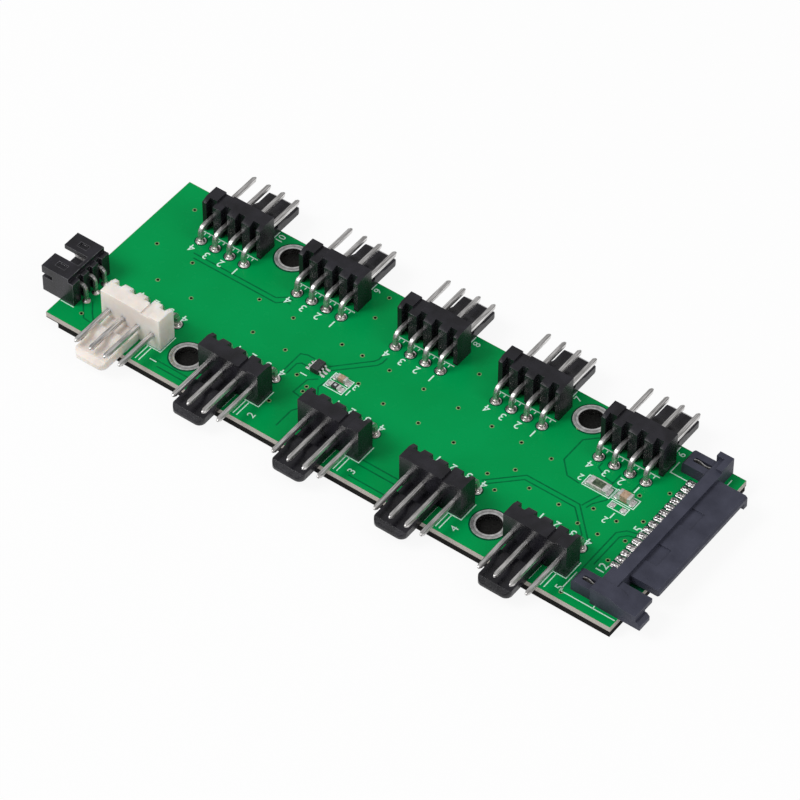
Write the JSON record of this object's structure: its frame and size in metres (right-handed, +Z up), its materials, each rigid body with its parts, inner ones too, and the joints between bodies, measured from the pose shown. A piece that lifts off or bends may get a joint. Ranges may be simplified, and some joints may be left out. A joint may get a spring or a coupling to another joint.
{
  "type": "pc fan controller hub",
  "caption": "Flat circuit board that shares power and speed signal among fan headers along both long edges, fed by a blade power plug at one end.",
  "frame": {"origin": "on the underside of the foam pad, below the middle of the four mounting holes", "axes": "+X along the board towards the power plug, +Y across it towards the far row of fan headers, +Z up out of the component side"},
  "size_m": [0.101, 0.0409, 0.0077],
  "materials": {
    "foam": "matt black closed-cell foam",
    "board": "green solder mask on glass epoxy, pale cut edges",
    "tinned_copper": "bright tinned copper",
    "black_plastic": "black moulded plastic, slightly glossy",
    "ivory_plastic": "ivory moulded plastic",
    "tinned_pin": "tin-plated square wire",
    "solder": "bright solder",
    "plug_plastic": "dark blue-grey moulded plastic",
    "gold_contact": "gold-plated strip, tinned at the feet",
    "clip_metal": "tin-plated sheet",
    "chip_plastic": "black moulding compound",
    "capacitor_ceramic": "tan ceramic",
    "resistor_glaze": "black glaze",
    "fuse_body": "grey-green epoxy",
    "end_cap_metal": "tinned end caps, dull"
  },
  "bodies": {
    "root": {"foam_pad": "foam", "circuit_board": "board", "mounting_hole_plating": "tinned_copper", "fan_header_1_housing": "black_plastic", "fan_header_1_pins": "tinned_pin", "fan_header_2_housing": "black_plastic", "fan_header_2_pins": "tinned_pin", "fan_header_3_housing": "black_plastic", "fan_header_3_pins": "tinned_pin", "fan_header_4_housing": "black_plastic", "fan_header_4_pins": "tinned_pin", "fan_header_5_housing": "black_plastic", "fan_header_5_pins": "tinned_pin", "fan_header_6_housing": "ivory_plastic", "fan_header_6_pins": "tinned_pin", "fan_header_7_housing": "black_plastic", "fan_header_7_pins": "tinned_pin", "fan_header_8_housing": "black_plastic", "fan_header_8_pins": "tinned_pin", "fan_header_9_housing": "black_plastic", "fan_header_9_pins": "tinned_pin", "fan_header_10_housing": "black_plastic", "fan_header_10_pins": "tinned_pin", "fan_header_solder": "solder", "small_header_solder": "solder", "small_header_housing": "black_plastic", "small_header_pins": "tinned_pin", "power_plug_housing": "plug_plastic", "power_plug_contacts": "gold_contact", "power_plug_clips": "clip_metal", "chip_body": "chip_plastic", "chip_legs": "tinned_pin", "small_capacitor_body": "capacitor_ceramic", "large_capacitor_body": "capacitor_ceramic", "resistor_body": "resistor_glaze", "fuse_body": "fuse_body", "end_caps": "end_cap_metal"}
  },
  "joints": []
}
